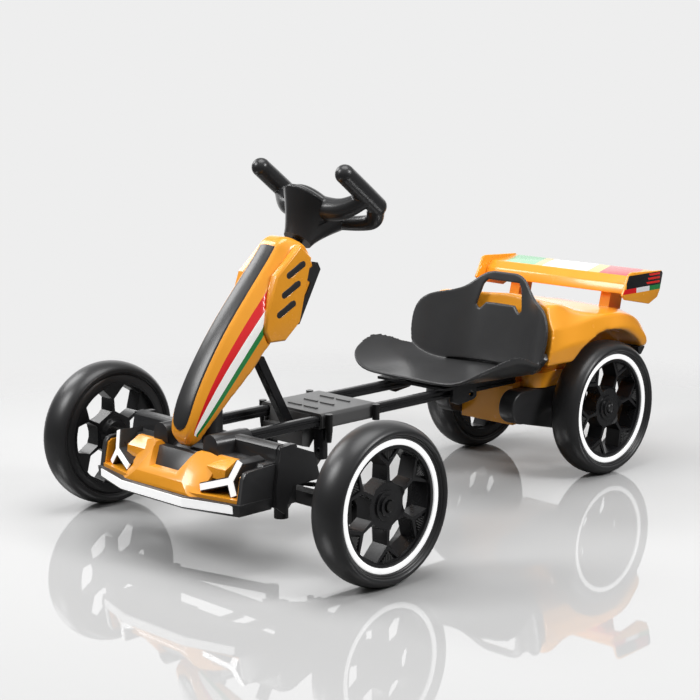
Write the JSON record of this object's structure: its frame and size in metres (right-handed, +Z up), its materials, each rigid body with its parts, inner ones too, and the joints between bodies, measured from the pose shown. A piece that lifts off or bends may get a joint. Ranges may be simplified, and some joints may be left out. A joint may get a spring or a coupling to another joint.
{
  "type": "electric ride-on go-kart",
  "caption": "Child's electric go-kart: telescoping twin-rail frame, bucket seat, steered front wheels, tall steering cowl, tail body with wing and spoked wheels.",
  "frame": {"origin": "middle of the footprint, on the floor", "axes": "+X to the kart's left, +Y to its tail, +Z up"},
  "size_m": [0.6342, 0.955, 0.5343],
  "materials": {
    "black_frame": "satin",
    "black_steel": "satin",
    "seat_black": "matte",
    "orange_gloss": "gloss",
    "black_plastic": "satin",
    "lamp_white": "gloss",
    "tyre_black": "matte",
    "ring_white": "gloss",
    "rim_black": "satin"
  },
  "bodies": {
    "rear": {"rear_rails": "black_frame", "seat_bracket": "black_frame", "seat": "seat_black", "rear_body": "orange_gloss", "lower_housing": "orange_gloss", "motors": "black_plastic", "wing": "orange_gloss", "wing_plates": "orange_gloss", "wing_struts": "orange_gloss", "tail_panel": "black_plastic"},
    "front": {"front_rails": "black_frame", "foot_plate": "black_frame", "clamp_levers": "black_steel", "posts": "black_frame", "column_strut": "black_frame", "front_axle": "black_steel", "front_housing": "black_plastic", "splash_guards": "black_plastic", "bumper_tray": "black_plastic", "lamp_strip": "lamp_white", "bumper_fascia": "orange_gloss", "head_lamps": "lamp_white", "cowl": "orange_gloss", "cowl_spine": "black_plastic", "cowl_back": "black_plastic", "vent_pods": "orange_gloss"},
    "steering": {"steering_shaft": "black_steel", "steering_shroud": "black_plastic", "steering_wheel": "black_plastic"},
    "pitman": {"pitman_arm": "black_steel"},
    "tie_rod": {"tie_rod": "black_steel"},
    "knuckle_left": {"knuckle_left": "black_steel"},
    "knuckle_right": {"knuckle_right": "black_steel"},
    "wheel_front_left": {"tyre_front_left": "tyre_black", "trim_ring_front_left": "ring_white", "rim_front_left": "rim_black"},
    "wheel_front_right": {"tyre_front_right": "tyre_black", "trim_ring_front_right": "ring_white", "rim_front_right": "rim_black"},
    "wheel_rear_left": {"tyre_rear_left": "tyre_black", "trim_ring_rear_left": "ring_white", "rim_rear_left": "rim_black"},
    "wheel_rear_right": {"tyre_rear_right": "tyre_black", "trim_ring_rear_right": "ring_white", "rim_rear_right": "rim_black"}
  },
  "joints": [
    {"name": "frame_slide", "type": "slide", "parent": "rear", "child": "front", "axis": [0, -1, 0], "range_m": [-0.025, 0.045]},
    {"name": "steering", "type": "hinge", "parent": "front", "child": "steering", "pos_m": [0, -0.204, 0.4155], "axis": [0, 0.606, 0.7955], "range_deg": [-25, 25]},
    {"name": "pitman", "type": "hinge", "parent": "front", "child": "pitman", "pos_m": [0, -0.3662, 0.11], "axis": [0, 0, 1], "range_deg": [-25, 25]},
    {"name": "kingpin_left", "type": "hinge", "parent": "front", "child": "knuckle_left", "pos_m": [0.228, -0.3275, 0.093], "axis": [0, 0, 1], "range_deg": [-25, 25]},
    {"name": "kingpin_right", "type": "hinge", "parent": "front", "child": "knuckle_right", "pos_m": [-0.228, -0.3275, 0.093], "axis": [0, 0, 1], "range_deg": [-25, 25]},
    {"name": "tie_rod", "type": "hinge", "parent": "pitman", "child": "tie_rod", "pos_m": [0, -0.3212, 0.107], "axis": [0, 0, 1], "range_deg": [-25, 25]},
    {"name": "wheel_front_left", "type": "hinge", "parent": "knuckle_left", "child": "wheel_front_left", "pos_m": [0.2903, -0.3275, 0.11], "axis": [1, 0, 0], "continuous": true},
    {"name": "wheel_front_right", "type": "hinge", "parent": "knuckle_right", "child": "wheel_front_right", "pos_m": [-0.2903, -0.3275, 0.11], "axis": [1, 0, 0], "continuous": true},
    {"name": "wheel_rear_left", "type": "hinge", "parent": "rear", "child": "wheel_rear_left", "pos_m": [0.1361, 0.3513, 0.11], "axis": [1, 0, 0], "continuous": true},
    {"name": "wheel_rear_right", "type": "hinge", "parent": "rear", "child": "wheel_rear_right", "pos_m": [-0.1361, 0.3513, 0.11], "axis": [1, 0, 0], "continuous": true}
  ],
  "couplings": [
    {"joint": "pitman", "follows": "steering", "ratio": 1},
    {"joint": "kingpin_left", "follows": "steering", "ratio": 1},
    {"joint": "kingpin_right", "follows": "steering", "ratio": 1},
    {"joint": "tie_rod", "follows": "steering", "ratio": -1}
  ]
}
